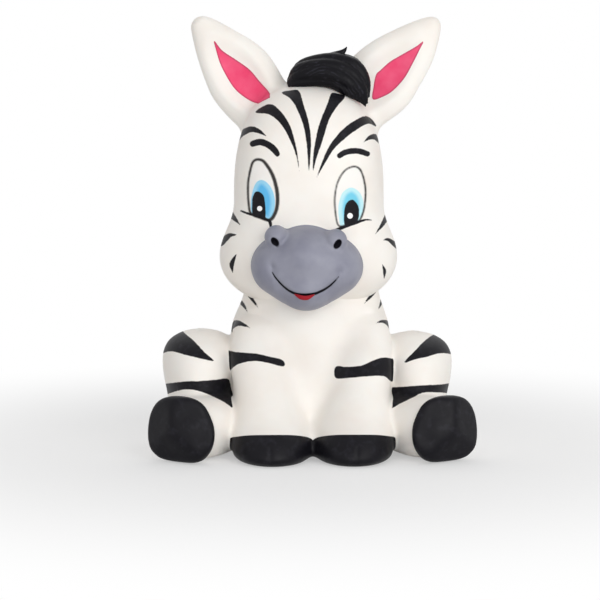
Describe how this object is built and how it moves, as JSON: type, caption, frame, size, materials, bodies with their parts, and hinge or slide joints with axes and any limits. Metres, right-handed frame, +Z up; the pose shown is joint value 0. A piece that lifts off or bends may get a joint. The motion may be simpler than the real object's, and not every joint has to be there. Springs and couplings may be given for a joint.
{
  "type": "squishy zebra toy",
  "caption": "Sitting zebra foal moulded in slow-rising foam, with a large head, upright ears, splayed hind legs and painted hooves.",
  "frame": {"origin": "on the flat underside of the belly, at the surface the toy sits on", "axes": "+Z up, the toy faces -Y, its own left side is +X"},
  "size_m": [0.0934, 0.0929, 0.1236],
  "materials": {
    "foam": "slow-rising polyurethane foam, cream white, with a fine matt skin",
    "black_paint": "flexible black paint on foam, satin",
    "grey_paint": "flexible blue-grey paint on foam, satin",
    "red_paint": "flexible red paint on foam, satin",
    "pink_paint": "flexible pink paint on foam, satin"
  },
  "bodies": {
    "seat": {"belly": "foam", "right_foreleg": "foam", "left_foreleg": "foam", "right_fore_hoof": "black_paint", "left_fore_hoof": "black_paint", "right_thigh": "foam", "left_thigh": "foam", "right_hind_foot": "foam", "left_hind_foot": "foam", "right_hind_hoof": "black_paint", "left_hind_hoof": "black_paint"},
    "chest": {"chest": "foam"},
    "neck": {"neck": "foam"},
    "head": {"head": "foam", "muzzle": "grey_paint", "lower_lip": "grey_paint", "tongue": "red_paint", "forelock": "black_paint", "head_mane": "black_paint"},
    "right_ear": {"right_ear": "foam", "right_ear_lining": "pink_paint"},
    "left_ear": {"left_ear": "foam", "left_ear_lining": "pink_paint"},
    "tail": {"tail": "foam", "tail_tuft": "black_paint"}
  },
  "joints": [
    {"name": "press", "type": "slide", "parent": "seat", "child": "chest", "axis": [0, 0, -1], "range_m": [0, 0.006], "stiffness_N_per_m": 500, "springref_m": -0.003, "deforming": ["belly", "right_foreleg", "left_foreleg", "right_thigh", "left_thigh"]},
    {"name": "head_turn", "type": "hinge", "parent": "chest", "child": "neck", "pos_m": [0, 0.003, 0.041], "axis": [0, 0, 1], "range_deg": [-20, 20], "stiffness_Nm_per_rad": 0.25},
    {"name": "head_nod", "type": "hinge", "parent": "neck", "child": "head", "pos_m": [0, 0.003, 0.025], "axis": [1, 0, 0], "range_deg": [-10, 8], "stiffness_Nm_per_rad": 0.6},
    {"name": "right_ear_fold", "type": "hinge", "parent": "head", "child": "right_ear", "pos_m": [-0.01509, 0.00506, 0.0995], "axis": [0.7642, -0.0534, 0.6428], "range_deg": [-30, 25], "stiffness_Nm_per_rad": 0.02},
    {"name": "left_ear_fold", "type": "hinge", "parent": "head", "child": "left_ear", "pos_m": [0.01404, 0.00302, 0.0995], "axis": [0.7642, -0.0534, -0.6428], "range_deg": [-30, 10], "stiffness_Nm_per_rad": 0.02},
    {"name": "tail_swing", "type": "hinge", "parent": "seat", "child": "tail", "pos_m": [-0.0006, 0.034, 0.009], "axis": [0, 0, 1], "range_deg": [-25, 25], "stiffness_Nm_per_rad": 0.01}
  ]
}
